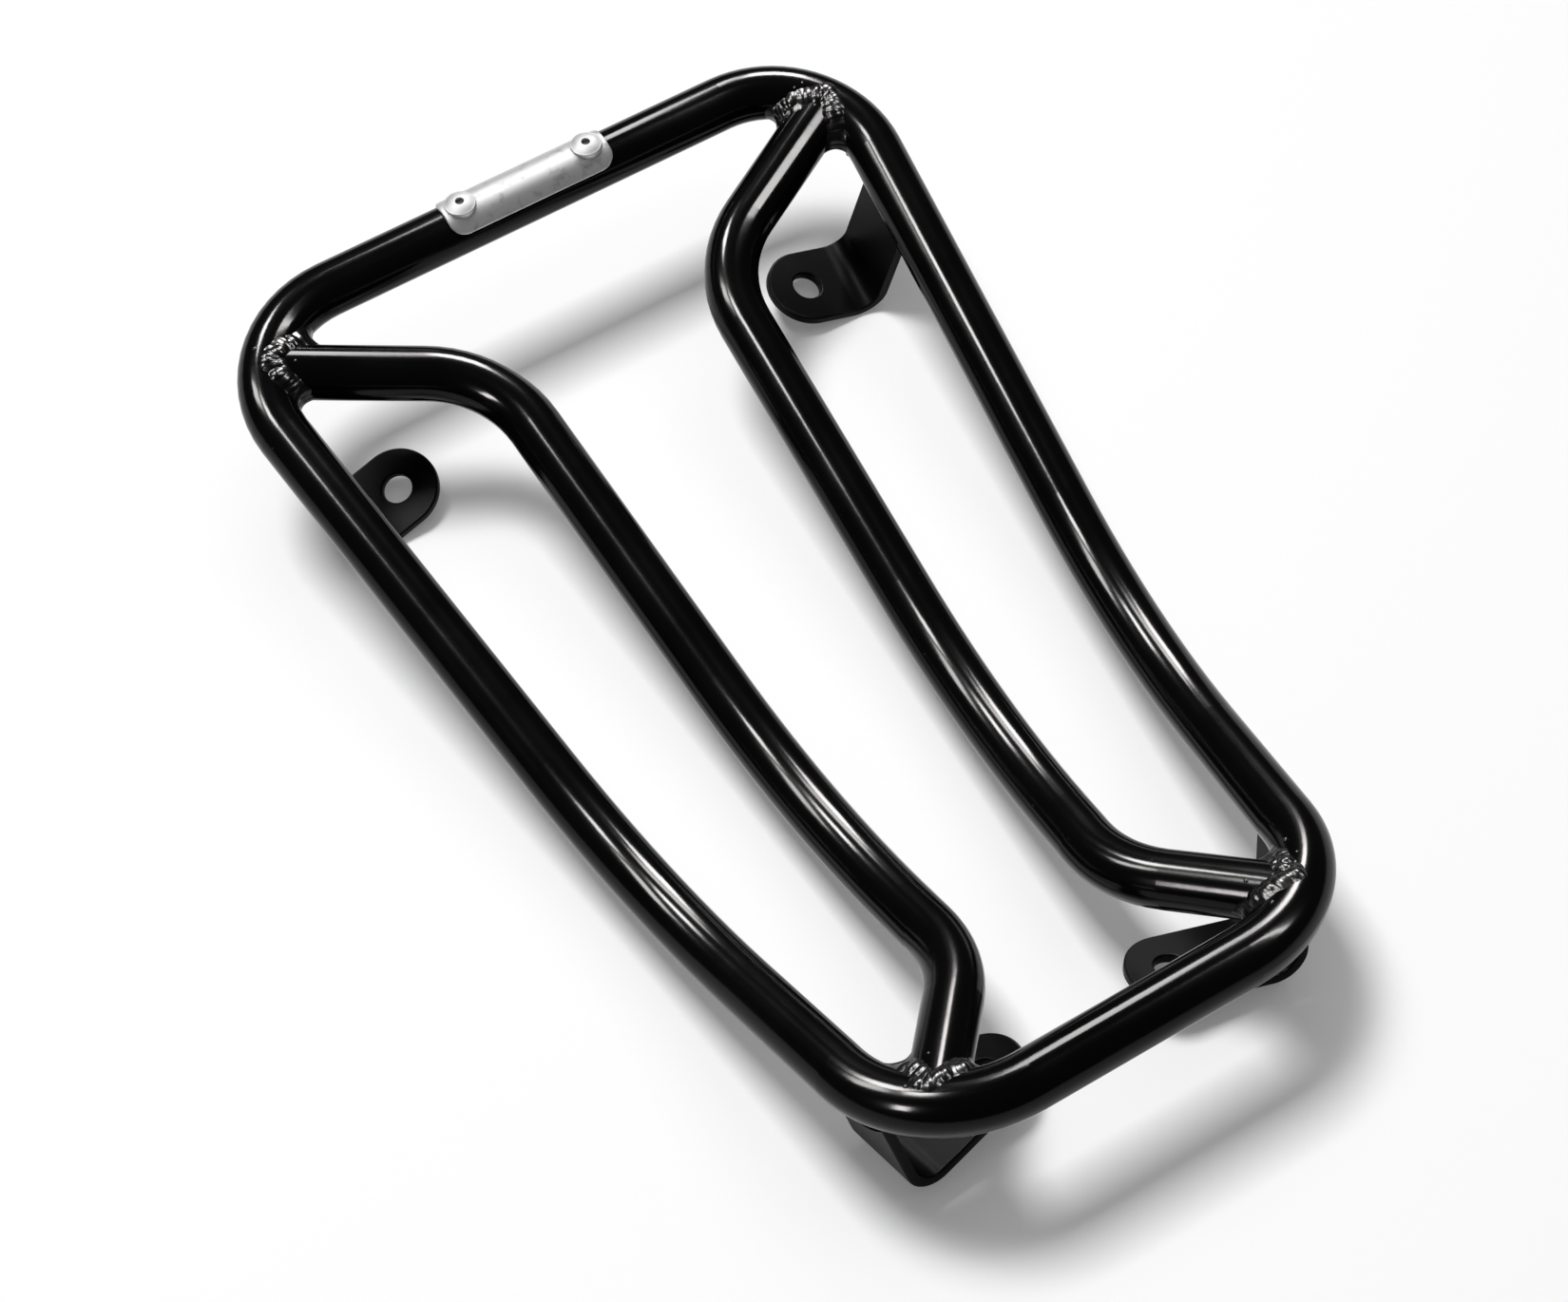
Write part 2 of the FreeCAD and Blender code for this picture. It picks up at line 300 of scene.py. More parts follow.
# Meshes: grids of points, closed both ways like a ring, or with a pole at each end like a ball
def ringFaces(rows, columns):
    r, c = np.meshgrid(np.arange(rows), np.arange(columns), indexing="ij")
    here, after = r * columns, (r + 1) % rows * columns
    nextC = (c + 1) % columns
    return np.stack([here + c, after + c, after + nextC, here + nextC], -1).reshape(-1, 4)


def ballFaces(rows, columns):         # columns go round, rows from pole to pole, the poles come last
    r, c = np.meshgrid(np.arange(rows - 1), np.arange(columns), indexing="ij")
    here, after = r * columns, (r + 1) * columns
    nextC = (c + 1) % columns
    sides = np.stack([here + c, after + c, after + nextC, here + nextC], -1)
    spoke = np.arange(columns)
    nextSpoke = (spoke + 1) % columns
    pole, lastRow = np.full(columns, rows * columns), (rows - 1) * columns
    first = np.stack([pole, spoke, nextSpoke], -1)
    last = np.stack([lastRow + spoke, pole + 1, lastRow + nextSpoke], -1)
    return sides.reshape(-1, 4), np.vstack([first, last])


def outwards(points, quads, triangles):           # signed volume tells which way the faces look
    fan = np.vstack([quads[:, [0, 1, 2]], quads[:, [0, 2, 3]], triangles])
    a, b, c = (points[fan[:, i]] for i in range(3))
    if np.einsum("ij,ij->", a, np.cross(b, c)) < 0:
        return quads[:, ::-1], triangles[:, ::-1]
    return quads, triangles


def closedRing(grid):                 # grid of rows, columns, xyz
    points = grid.reshape(-1, 3)
    return (points, *outwards(points, ringFaces(*grid.shape[:2]), np.zeros((0, 3), int)))


def closedBall(grid, firstPole, lastPole):
    points = np.vstack([grid.reshape(-1, 3), firstPole, lastPole])
    return (points, *outwards(points, *ballFaces(*grid.shape[:2])))


def mirrored(shell):
    points, quads, triangles = shell
    return points * mirrorX, quads[:, ::-1], triangles[:, ::-1]


def addPiece(name, shells, slot, node, finish=None):  # shells in mm, one mesh in metres, on the rack
    starts = np.cumsum([0] + [len(s[0]) for s in shells])
    points = np.vstack([s[0] for s in shells]) * mm
    faces = [f.tolist() for s, n in zip(shells, starts) for f in (s[1] + n, s[2] + n)]
    mesh = bpy.data.meshes.new(name)
    mesh.from_pydata(points.tolist(), [], sum(faces, []))
    mesh.polygons.foreach_set("use_smooth", np.ones(len(mesh.polygons), bool))
    mesh.materials.append(finish or finishes[slot])
    mesh.update()
    piece = bpy.data.objects.new(name, mesh)
    bpy.context.scene.collection.objects.link(piece)
    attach(piece, "root")
    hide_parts(node)
    litAs(piece, slot)


# Weld beads: a lumpy fillet that runs once round a seam, with drops of spatter beside it
beadLook = {
    "count": 320, "steps": 34,            # points along the seam and across the bead
    "reach": 4.0, "cornerReach": 2.4,     # spread over both metals, and how much more in a sharp corner
    "slant": 0.3,                         # share by which the spread leans along the stub
    "lift": 1.0, "liftUneven": 0.4,       # crown over the seam, and its share of the unevenness
    "sink": 0.30, "root": 1.6,            # how far edges and root go into the metal
    "uneven": 0.16, "unevenWaves": 9,     # uneven spread, as a share
    "pitch": 2.4, "ripple": 0.18,         # overlapping scallops
    "fewestScallops": 6, "scallopShift": 0.15, "shiftWaves": 6, "crownRipple": 2.2,
    "lump": 0.12, "lumpSize": 5.0, "lumpBase": 0.4,               # blobs on the bead
    "poolPitch": 2.3, "poolR": (2.2, 3.6), "poolHigh": (0.55, 1.15),      # set metal, one pool over the next
    "poolStray": 0.4, "poolAcross": (0.14, 0.86),
    "lumpyFrom": 0.2, "lumpySlope": 1.2, "lumpyLeast": 0.15,      # rail welds have smooth sides
    "drops": 8, "dropR": (0.55, 0.95), "dropSink": 0.45, "dropFar": (3.0, 6.5),
    "dropRows": 13, "dropColumns": 20,
    "railEnd": 30.0, "halvings": 40,      # stretch of the rail in which its seam is looked for
    "seeds": {"wideRail": 3, "narrowRail": 11, "wideLeg": 21, "narrowLeg": 31, "otherSide": 50,
              "scallop": 7, "lump": 90, "dropsOver": 200, "dropsAway": 300, "pool": 400},
}


waveLook = {"slowest": 2, "strength": (0.4, 1.0), "blobWaves": 14, "blobSpread": (0.7, 1.3)}


def waves(count, seed, number):       # sum of a few random sines round the ring, about -1 to 1
    dice = np.random.default_rng(seed)
    turn = np.linspace(0, 2 * np.pi, count, endpoint=False)[:, None]
    k = waveLook["slowest"] + np.arange(number)
    each = np.sin(turn * k + dice.uniform(0, 2 * np.pi, number)) * dice.uniform(*waveLook["strength"], number)
    return each.sum(1) / math.sqrt(number)


def blobs(points, seed, size):        # size of a sum of random plane waves: round lumps with creases between
    dice = np.random.default_rng(seed)
    number = waveLook["blobWaves"]
    heading = unit(dice.normal(size=(number, 3)))
    k = heading * (np.pi / size / dice.uniform(*waveLook["blobSpread"], (number, 1)))
    return np.abs(np.sin(points @ k.T + dice.uniform(0, 2 * np.pi, number)).sum(-1)) / math.sqrt(number / 2)


def beadRing(seam, stubNormal, tubeNormal, heading, toStub, toTube, seed, lumpy=1.0):
    # Foot points lie a reach away from the seam on both metals; between them runs a quadratic curve
    # whose middle point is lifted along the mean normal. A root point inside closes the section.
    look, seeds, count = beadLook, beadLook["seeds"], len(seam)
    run = np.cumsum(np.linalg.norm(np.roll(seam, -1, 0) - seam, axis=1))
    beats = max(look["fewestScallops"], round(run[-1] / look["pitch"]))
    shift = look["scallopShift"] * waves(count, seed + seeds["scallop"], look["shiftWaves"])
    phase = run / run[-1] * beats + shift
    scallop = 1 - (2 * (phase % 1) - 1) ** 2
    uneven = 1 + look["uneven"] * waves(count, seed, look["unevenWaves"])
    dot = (stubNormal * tubeNormal).sum(1, keepdims=True)
    headingOnTube = heading - (tubeNormal @ heading)[:, None] * tubeNormal
    away = unit(tubeNormal - dot * stubNormal - look["slant"] * heading)
    over = unit(stubNormal - dot * tubeNormal + look["slant"] * headingOnTube)
    crown = unit(stubNormal + tubeNormal)
    spread = look["reach"] * uneven + look["ripple"] * scallop
    reach = spread[:, None] * (1 + look["cornerReach"] * np.clip(-dot, 0, 1))
    onStub = toStub(seam + away * reach, look["sink"])
    onTube = toTube(seam + over * reach, look["sink"])
    swell = 1 - look["liftUneven"] + look["liftUneven"] * uneven
    lift = look["lift"] * swell + look["crownRipple"] * look["ripple"] * scallop
    middle = seam + crown * lift[:, None]
    t = np.linspace(0, 1, look["steps"])[None, :, None]
    section = (1 - t) ** 2 * onStub[:, None] + 2 * t * (1 - t) * middle[:, None] + t ** 2 * onTube[:, None]
    root = (seam - crown * look["root"])[:, None]
    arch = np.sin(np.pi * t)
    lump = look["lump"] * (blobs(section, seed + seeds["lump"], look["lumpSize"]) - look["lumpBase"])
    pool = weldPools(section, run[-1], seed + seeds["pool"])
    bulge = lump[..., None] * arch + pool[..., None] * np.sqrt(arch.clip(0))
    section = section + unit(section - root) * bulge * np.reshape(lumpy, (-1, 1, 1))
    drops = spatter(seam, over, toTube, seed + seeds["dropsOver"])
    drops += spatter(seam, away, toStub, seed + seeds["dropsAway"])
    return [closedRing(np.concatenate([section, root], 1))] + drops


def weldPools(section, length, seed):
    # Height over the fillet: low caps at uneven places, each falling off with the square of the
    # distance from its middle; where they meet, the higher one counts, which leaves creases
    look, dice = beadLook, np.random.default_rng(seed)
    rows, columns = section.shape[:2]
    number = round(length / look["poolPitch"])
    stray = dice.uniform(-look["poolStray"], look["poolStray"], number)
    row = ((np.arange(number) + stray) * rows / number).astype(int) % rows
    column = (dice.uniform(*look["poolAcross"], number) * columns).astype(int)
    size, high = dice.uniform(*look["poolR"], number), dice.uniform(*look["poolHigh"], number)
    far = np.linalg.norm(section[:, :, None] - section[row, column], axis=-1)
    return (high * (1 - (far / size) ** 2)).max(-1).clip(0)


def balls(centres, radii):            # latitude and longitude on a sphere, times the radius
    down = np.linspace(0, np.pi, beadLook["dropRows"])[1:-1]
    turn = np.linspace(0, 2 * np.pi, beadLook["dropColumns"], endpoint=False)
    lat, lon = np.meshgrid(down, turn, indexing="ij")
    ball = np.stack([np.sin(lat) * np.cos(lon), np.sin(lat) * np.sin(lon), np.cos(lat)], -1)
    pole = np.array([0, 0, 1.0])
    return [closedBall(c + r * ball, c + r * pole, c - r * pole) for c, r in zip(centres, radii)]


def spatter(seam, aside, onto, seed):
    # Drops are balls, half sunk in the metal, at random places along the seam and random distances from it
    look, dice = beadLook, np.random.default_rng(seed)
    number = look["drops"] // 2
    far = np.zeros((len(seam), 1))
    spots = dice.choice(len(seam), number, replace=False)
    far[spots, 0] = dice.uniform(*look["dropFar"], number)
    centres = onto(seam + aside * far, look["dropSink"])[spots]
    return balls(centres, dice.uniform(*look["dropR"], number))


def railBead(bend, joint, knee, seed):
    # Seam: for each angle round the rail, the place along it whose distance to the bend's centre line
    # is the tube's radius, found by halving
    look, heading, r = beadLook, unit(joint - knee), tubes["radius"]
    aside = unit(np.cross(heading, [0, 0, 1.0]))
    above = np.cross(aside, heading)
    angle = np.linspace(0, 2 * np.pi, look["count"], endpoint=False)[:, None]
    normal = np.cos(angle) * aside + np.sin(angle) * above
    low, high = np.full(look["count"], -look["railEnd"]), np.zeros(look["count"])
    for _ in range(look["halvings"]):
        half = (low + high) / 2
        p = joint + normal * r + heading * half[:, None]
        outside = np.linalg.norm(p - nearOnBend(bend, p), axis=1) > r
        low, high = np.where(outside, half, low), np.where(outside, high, half)
    seam = joint + normal * r + heading * half[:, None]

    def toRail(p, sink):
        axis = nearOnLine(joint, heading, p)
        return axis + unit(p - axis) * (r - sink)

    def toBend(p, sink):
        axis = nearOnBend(bend, p)
        return axis + unit(p - axis) * (r - sink)

    bendNormal = unit(seam - nearOnBend(bend, seam))
    upwards = unit(normal + bendNormal)[:, 2]
    lumpy = np.clip(look["lumpyFrom"] + look["lumpySlope"] * upwards, look["lumpyLeast"], 1)
    return beadRing(seam, normal, bendNormal, heading, toRail, toBend, seed, lumpy)


for end, *spot in (("wide", wideBend, wideJoint, wideKnee), ("narrow", narrowBend, narrowJoint, narrowKnee)):
    seed = beadLook["seeds"][f"{end}Rail"]
    addPiece(f"railBead.{end}.right", railBead(*spot, seed), "black_paint",
             f"rail_weld_{end}_right", weldPaint)
    other = [mirrored(shell) for shell in railBead(*spot, seed + beadLook["seeds"]["otherSide"])]
    addPiece(f"railBead.{end}.left", other, "black_paint", f"rail_weld_{end}_left", weldPaint)
print("rail beads done")


# Legs: a flat strip with a round foot and a bolt hole, bent once; edges softly broken
legLook = {
    "width": 25.0, "thick": 3.0, "bendR": 6.0, "lean": 9.0, "rise": 15.5, "holeD": 9.0, "edge": 0.55,
    "wide": {"y": 109.7, "reach": 19.7}, "narrow": {"y": -128.6, "reach": 33.1},
    "topSink": 0.8,                       # how far the strip's top goes into the tube
    "seamPower": 0.25,                    # the lower, the squarer the weld's outline
    "sidePoints": 56, "endPoints": 44, "topPoints": 18, "rings": 84, "edgePoints": 5,
}


class Leg:
    def __init__(self, fromCorner, toCorner, y, reach):
        look = legLook
        start, end = fromCorner * mirrorX, toCorner * mirrorX
        self.along = unit(start - end)
        self.normal = unit(np.cross([1.0, 0, 0], start - end))
        self.inwards = unit(np.cross(self.along, self.normal))
        self.origin = lineAt(start, end, y)
        lean, rise = math.radians(look["lean"]), math.radians(look["rise"])
        self.web = np.array([math.sin(lean), -math.cos(lean)])        # inwards, up: in the strip's section
        self.webIn = np.array([math.cos(lean), math.sin(lean)])
        foot = np.array([math.cos(rise), math.sin(rise)])
        inner = math.acos(-self.web @ foot)
        self.turn = math.pi - inner
        self.midR = look["bendR"] + look["thick"] / 2
        outerR = look["bendR"] + look["thick"]
        axis = unit(foot - self.web) * self.midR / math.sin(inner / 2)
        lowEnd = -math.copysign(look["width"] / 2, self.along[2])
        height = self.place(axis, lowEnd)[2] - outerR * math.sqrt(1 - self.along[2] ** 2)
        fall = self.origin[2] - self.place(self.web, 0.0)[2]
        webLength = height / fall         # the bend touches the ground
        tangent = self.midR * math.tan(self.turn / 2)
        self.straight = webLength - tangent
        self.centre = self.web * self.straight + self.webIn * self.midR
        self.hole = self.straight + self.midR * self.turn + reach - tangent

    def place(self, section, across):
        section, across = np.asarray(section), np.asarray(across)[..., None]
        inwards, up = section[..., :1] * self.inwards, section[..., 1:] * self.normal
        return self.origin + inwards + across * self.along + up

    def bent(self, t, across, n):
        # Flat strip to bent strip: straight down the web, round the bend, straight along the foot
        turned = np.clip((t - self.straight) / self.midR, 0, self.turn)
        beyond = t - self.straight - turned * self.midR
        c, s = np.cos(turned)[..., None], np.sin(turned)[..., None]
        ahead, inside = c * self.web + s * self.webIn, c * self.webIn - s * self.web
        section = self.centre - inside * (self.midR - n)[..., None] + ahead * beyond[..., None]
        return self.place(section, across)

    def strip(self):
        # Rays from the bolt hole to the outline; each ray's section goes over the top face, round the
        # outer edge, back under the strip and up the wall of the hole
        look = legLook
        half, h, e = look["width"] / 2, look["thick"] / 2, look["edge"]
        top = tubes["radius"] - look["topSink"]
        down = np.linspace(top, self.hole, look["sidePoints"], endpoint=False)
        arc = np.linspace(-np.pi / 2, np.pi / 2, look["endPoints"])
        back = np.linspace(self.hole, top, look["sidePoints"] + 1)[1:]
        closing = np.linspace(half, -half, look["topPoints"])[1:-1]
        t = np.concatenate([down, self.hole + half * np.cos(arc), back, np.full(len(closing), top)])
        s = np.concatenate([np.full(len(down), -half), half * np.sin(arc), np.full(len(back), half), closing])
        normal = np.concatenate([np.tile([0.0, -1.0], (len(down), 1)),
                                 np.stack([np.cos(arc), np.sin(arc)], 1),
                                 np.tile([0.0, 1.0], (len(back), 1)),
                                 np.tile([-1.0, 0.0], (len(closing), 1))])
        ray = np.stack([t - self.hole, s], 1)
        far = np.linalg.norm(ray, axis=1, keepdims=True)
        ray = ray / far
        slant = e / np.abs((ray * normal).sum(1, keepdims=True))      # the edge's width along the ray
        near = look["holeD"] / 2
        share = np.linspace(0, 1, look["rings"])[None]
        quarter = np.linspace(0, np.pi / 2, look["edgePoints"])[None]
        face = near + e + (far - slant - near - e) * share
        edgeOut = far - slant + slant * np.sin(quarter)
        ones = np.ones_like(far)
        holeOut, up = ones * (near + e - e * np.sin(quarter)), ones * (h - e + e * np.cos(quarter))
        r = np.concatenate([face, edgeOut[:, 1:], edgeOut[:, ::-1], face[:, -2::-1],
                            holeOut[:, 1:], holeOut[:, :0:-1]], 1)
        n = np.concatenate([np.full_like(face, h), up[:, 1:], -up[:, ::-1], np.full_like(face[:, 1:], -h),
                            -up[:, 1:], up[:, :0:-1]], 1)
        return closedRing(self.bent(self.hole + r * ray[:, :1], r * ray[:, 1:], n))

    def bead(self, seed):
        # Seam: the strip's rounded outline, dropped along the web until it lies on the round of the tube
        look, r = legLook, tubes["radius"]
        angle = np.linspace(0, 2 * np.pi, beadLook["count"], endpoint=False)
        c, s = np.cos(angle), np.sin(angle)
        x = look["thick"] / 2 * np.sign(c) * np.abs(c) ** look["seamPower"]
        y = look["width"] / 2 * np.sign(s) * np.abs(s) ** look["seamPower"]
        outline = np.stack([x, y], 1)
        step = np.roll(outline, -1, 0) - np.roll(outline, 1, 0)
        side = unit(np.stack([step[:, 1], -step[:, 0]], 1))
        drop = np.sqrt(r * r - x * x)
        seam = self.place(x[:, None] * self.webIn + drop[:, None] * self.web, y)
        axis = self.origin + y[:, None] * self.along
        inside = self.webIn[0] * self.inwards + self.webIn[1] * self.normal
        stubNormal = side[:, :1] * inside + side[:, 1:] * self.along
        heading = -(self.web[0] * self.inwards + self.web[1] * self.normal)

        def toStrip(p, sink):
            return p - sink * stubNormal

        def toTube(p, sink):
            spot = nearOnLine(self.origin, self.along, p)
            return spot + unit(p - spot) * (r - sink)

        return beadRing(seam, stubNormal, unit(seam - axis), heading, toStrip, toTube, seed)


for end, corners in (("wide", (wide, fold)), ("narrow", (fold, narrow))):
    leg = Leg(*corners, **legLook[end])
    seed = beadLook["seeds"][f"{end}Leg"]
    addPiece(f"leg.{end}.left", [leg.strip()], "black_paint", f"{end}_leg_left", legPaint)
    addPiece(f"leg.{end}.right", [mirrored(leg.strip())], "black_paint", f"{end}_leg_right", legPaint)
    addPiece(f"legBead.{end}.left", leg.bead(seed), "black_paint", f"leg_weld_{end}_left")
    other = [mirrored(shell) for shell in leg.bead(seed + beadLook["seeds"]["otherSide"])]
    addPiece(f"legBead.{end}.right", other, "black_paint", f"leg_weld_{end}_right")
print("legs and their beads done")


# Badge plate: thin, bent over the top of the wide end, with softened edges
badge = {
    "length": 54.0, "thick": 1.0, "wrap": 60.0, "cornerR": 5.0, "edge": 0.38,
    "clear": 0.01,                        # between plate and tube
    "rings": 26, "innerRing": 0.04, "edgePoints": 6, "cornerPoints": 12, "runPoints": 30,
}


def badgePlate():
    # Rounded oblong laid flat, drawn as rings from the middle to the rim, over the edge and back below,
    # then rolled round the tube: the way across becomes an angle
    outer = tubes["radius"] + badge["thick"]
    halfX, halfA, r = badge["length"] / 2, outer * math.radians(badge["wrap"]), badge["cornerR"]
    corner = np.linspace(0, np.pi / 2, badge["cornerPoints"])
    bends = [np.stack([sx * (halfX - r) + r * np.cos(corner + a),
                       sy * (halfA - r) + r * np.sin(corner + a)], 1)
             for sx, sy, a in ((1, 1, 0), (-1, 1, np.pi / 2), (-1, -1, np.pi), (1, -1, 1.5 * np.pi))]
    along = np.linspace(0, 1, badge["runPoints"])[1:-1, None]
    runs = []
    for i, bend in enumerate(bends):
        follow = bends[(i + 1) % 4][0]
        runs += [bend, bend[-1] + (follow - bend[-1]) * along]
    rim = np.vstack(runs)
    share = np.linspace(badge["innerRing"], 1, badge["rings"])
    e, quarter = badge["edge"], np.linspace(0, np.pi / 2, badge["edgePoints"])
    top, below = np.ones(len(share)), np.ones(len(share) - 1)
    over, under = quarter[1:], quarter[::-1]
    inset = np.concatenate([e * top, e - e * np.sin(over), e - e * np.sin(under), e * below])
    scale = np.concatenate([share, np.ones(2 * len(quarter) - 1), share[-2::-1]])
    high = np.concatenate([top, 1 - e + e * np.cos(over), e - e * np.cos(under), 0 * below])
    trimmed = 1 - inset[:, None, None] / np.array([halfX, halfA])
    flat = rim[None] * scale[:, None, None] * trimmed
    radius = tubes["radius"] + badge["clear"] + badge["thick"] * high[:, None]
    angle = flat[..., 1] / outer
    grid = np.stack([flat[..., 0], wide[1] + radius * np.sin(angle), wide[2] + radius * np.cos(angle)], -1)
    poles = [np.array([[0, wide[1], wide[2] + tubes["radius"] + h]])
             for h in (badge["thick"] + badge["clear"], badge["clear"])]
    return closedBall(grid, *poles)


addPiece("badgePlate", [badgePlate()], "badge_aluminium", "badge_plate")

# Blind rivets: low dome on the plate's crown, a soft rim, and a hole over the broken stem
rivet = {
    "spacing": 42.0, "headR": 4.75, "domeH": 1.8, "rimH": 0.5, "rimSoft": 0.42, "holeR": 1.2, "lip": 0.3,
    "shank": 3.0, "wall": 0.8, "bedded": 0.08,
    "quarterPoints": 7, "domePoints": 16, "around": 72,
}


def rivetHead(x):
    # Profile turned about the upright; its lower edge follows the plate, a saddle that drops away
    # as the round of the plate does
    crown = tubes["radius"] + badge["thick"]
    headR, soft, lip, holeR, shank = (rivet[k] for k in ("headR", "rimSoft", "lip", "holeR", "shank"))
    rise = rivet["domeH"] - rivet["rimH"]
    domeR = (headR ** 2 + rise ** 2) / (2 * rise)
    quarter = np.linspace(0, np.pi / 2, rivet["quarterPoints"])
    domeEnd = headR - soft
    domeAt = np.linspace(holeR + lip, domeEnd, rivet["domePoints"])
    dome = rivet["domeH"] - domeR + np.sqrt(domeR ** 2 - domeAt ** 2)
    r = np.concatenate([[holeR], holeR + lip - lip * np.cos(quarter[:-1]), domeAt,
                        domeEnd + soft * np.sin(quarter[1:]), [headR, holeR + rivet["wall"]]])
    upright = np.concatenate([[-shank], dome[0] - lip + lip * np.sin(quarter[:-1]), dome,
                              dome[-1] - soft + soft * np.cos(quarter[1:]), [0, -shank]])
    angle = np.linspace(0, 2 * np.pi, rivet["around"], endpoint=False)[:, None]
    z = np.repeat(upright[None], len(angle), 0)
    z[:, -2:-1] = np.sqrt(crown ** 2 - (headR * np.sin(angle)) ** 2) - crown - rivet["bedded"]
    return closedRing(np.stack([x + r * np.cos(angle), wide[1] + r * np.sin(angle), wide[2] + crown + z], -1))


addPiece("rivet.left", [rivetHead(-rivet["spacing"] / 2)], "rivet_aluminium", "rivet_left")
addPiece("rivet.right", [rivetHead(rivet["spacing"] / 2)], "rivet_aluminium", "rivet_right")
print("badge and rivets done")


# Stage: pale floor that keeps the shadow, a key lamp, a wide fill, and softboxes that the gloss shows
stage = {
    "floorSize": 12.0, "floor": (0.86, 0.86, 0.86, 1), "floorRoughness": 0.9, "glow": 0.16,
    "room": (0.05, 0.05, 0.053, 1),
    "lampDistance": 3.0,
    "lamps": [  # direction, direction of its long side, degrees across and along, radiance, what it reaches
        {"name": "key", "to": (-0.12, 0.264, 0.957), "along": (0, 1, 0), "wide": 15, "long": 15,
         "radiance": 35, "tint": (1.0, 1.0, 1.0), "on": "diffuse"},
        {"name": "fill", "to": (0.10, 0.05, 1.0), "along": (0, 1, 0), "wide": 56, "long": 56,
         "radiance": 0.8, "tint": (1.0, 1.0, 1.0), "on": "diffuse"},
        {"name": "boxLeft", "to": (-0.27, 0.335, 0.903), "along": (-0.5, 0.5, 0), "wide": 8, "long": 9,
         "radiance": 100, "tint": (1.0, 0.99, 0.97), "on": "paint"},
        {"name": "boxFarLeft", "to": (-0.45, 0.50, 0.74), "along": (-0.5, 0.5, 0), "wide": 8, "long": 14,
         "radiance": 60, "tint": (1.0, 0.99, 0.97), "on": "paint"},
        {"name": "boxRight", "to": (0.47, 0.61, 0.64), "along": (0.3, 0.5, 0), "wide": 10, "long": 16,
         "radiance": 90, "tint": (1.0, 0.96, 0.95), "on": "paint"},
        {"name": "boxMiddle", "to": (0.285, 0.64, 0.715), "along": (0, 0, 1), "wide": 8, "long": 20,
         "radiance": 48, "tint": (1.0, 0.98, 0.97), "on": "paint"},
        {"name": "boxBack", "to": (-0.12, 0.64, 0.76), "along": (0, 1, 0), "wide": 8, "long": 10,
         "radiance": 110, "tint": (1.0, 0.98, 0.97), "on": "paint"},
        {"name": "boxTop", "to": (0.52, -0.165, 0.838), "along": (0.48, -0.67, -0.34), "wide": 5, "long": 28,
         "radiance": 75, "tint": (1.0, 0.98, 0.97), "on": "paint"},
        {"name": "boxSide", "to": (-0.80, -0.17, 0.57), "along": (0.38, 0.53, 0.74), "wide": 7, "long": 14,
         "radiance": 95, "tint": (1.0, 0.94, 0.95), "on": "paint"},
        {"name": "metalLeft", "to": (-0.30, 0.35, 0.89), "along": (0, 1, 0), "wide": 40, "long": 40,
         "radiance": 2.3, "tint": (1.0, 1.0, 1.0), "on": "metal"},
        {"name": "metalRight", "to": (0.40, 0.60, 0.69), "along": (0, 1, 0), "wide": 40, "long": 40,
         "radiance": 2.7, "tint": (1.0, 1.0, 1.0), "on": "metal"},
        {"name": "metalFront", "to": (0.20, -0.75, 0.60), "along": (0, 0, 1), "wide": 50, "long": 40,
         "radiance": 0.2, "tint": (1.0, 1.0, 1.0), "on": "metal"},
    ],
}


def makeFloor():
    half = stage["floorSize"] / 2
    mesh = bpy.data.meshes.new("floor")
    corners = [(-half, -half, 0), (half, -half, 0), (half, half, 0), (-half, half, 0)]
    mesh.from_pydata(corners, [], [(0, 1, 2, 3)])
    material, w, shader = newMaterial("floorPale", {
        "Base Color": stage["floor"], "Roughness": stage["floorRoughness"], "Specular IOR Level": 0.0,
        "Emission Strength": 1.0})
    seen, mirroredIn, through = (w.node("LightPath", output=f"Is {kind} Ray")
                                 for kind in ("Camera", "Glossy", "Transmission"))
    feed(w, shader, Emission_Color=(seen + mirroredIn + through) * stage["glow"])
    mesh.materials.append(material)
    floor = bpy.data.objects.new("floor", mesh)
    bpy.context.scene.collection.objects.link(floor)


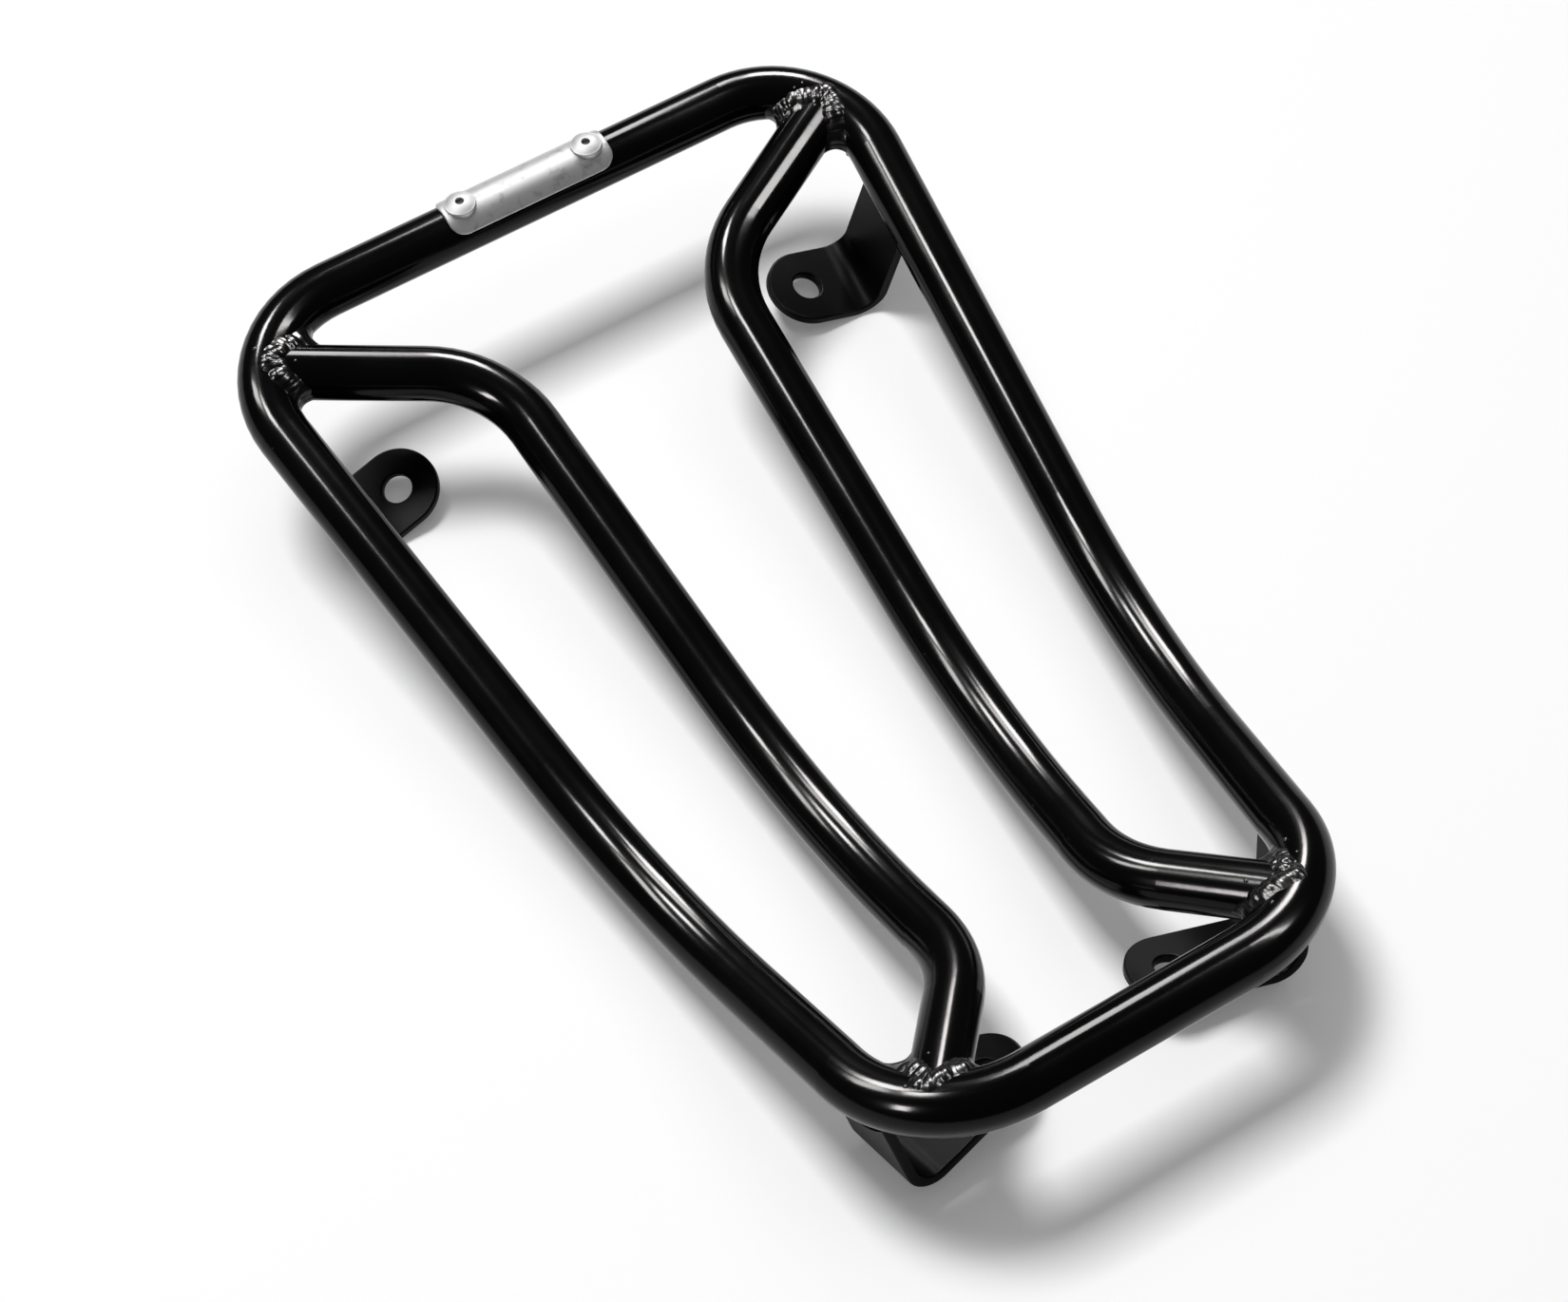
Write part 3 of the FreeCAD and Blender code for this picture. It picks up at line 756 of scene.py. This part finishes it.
def makeLamp(row):
    to, far = Vector(row["to"]).normalized(), stage["lampDistance"]
    lamp = bpy.data.lights.new(row["name"], "AREA")
    lamp.shape = "RECTANGLE"
    lamp.size, lamp.size_y = (2 * far * math.tan(math.radians(row[k] / 2)) for k in ("wide", "long"))
    lamp.energy = row["radiance"] * math.pi * lamp.size * lamp.size_y     # watts for that radiance
    lamp.color = row["tint"]
    across = Vector(row["along"]).cross(to).normalized()
    thing = bpy.data.objects.new(row["name"], lamp)
    turned = Matrix((across, to.cross(across), to)).transposed().to_4x4()
    thing.matrix_world = Matrix.Translation(to * far) @ turned
    thing.visible_diffuse = row["on"] == "diffuse"        # key and fill light the floor and cast the shadow
    thing.visible_glossy = row["on"] != "diffuse"         # softboxes only show in the gloss
    if row["on"] in lit:
        thing.light_linking.receiver_collection = lit[row["on"]]
    bpy.context.scene.collection.objects.link(thing)


makeFloor()
for row in stage["lamps"]:
    makeLamp(row)
world = bpy.data.worlds.new("room")
world.use_nodes = True
world.node_tree.nodes["Background"].inputs["Color"].default_value = stage["room"]
bpy.context.scene.world = world
bpy.context.scene.view_settings.view_transform = "Standard"
print("floor and", len(stage["lamps"]), "lamps done")

# Camera: stands at an azimuth and elevation from a point in the rack, with a small roll
shot = {"azimuth": -26.953, "elevation": 56.439, "roll": -4.762, "distance": 900.07, "aim": (0, 0, 28.0),
        "shiftRight": 7.166, "shiftUp": 6.410, "lens": 74.27, "sensor": 36.0, "clip": (0.05, 50.0)}


def makeCamera():
    a, e, roll = (math.radians(shot[k]) for k in ("azimuth", "elevation", "roll"))
    back = Vector((math.sin(a) * math.cos(e), -math.cos(a) * math.cos(e), math.sin(e)))
    level = Vector((math.cos(a), math.sin(a), 0))
    upright = back.cross(level)
    right = math.cos(roll) * level + math.sin(roll) * upright
    up = math.cos(roll) * upright - math.sin(roll) * level
    eye = Vector(shot["aim"]) + back * shot["distance"] - right * shot["shiftRight"] - up * shot["shiftUp"]
    data = bpy.data.cameras.new("photoCamera")
    data.sensor_fit, data.sensor_width, data.lens = "HORIZONTAL", shot["sensor"], shot["lens"]
    data.clip_start, data.clip_end = shot["clip"]
    camera = bpy.data.objects.new("photoCamera", data)
    turned = Matrix((right, up, back)).transposed().to_4x4()
    camera.matrix_world = Matrix.Translation(eye * mm) @ turned
    bpy.context.scene.collection.objects.link(camera)
    bpy.context.scene.camera = camera


makeCamera()
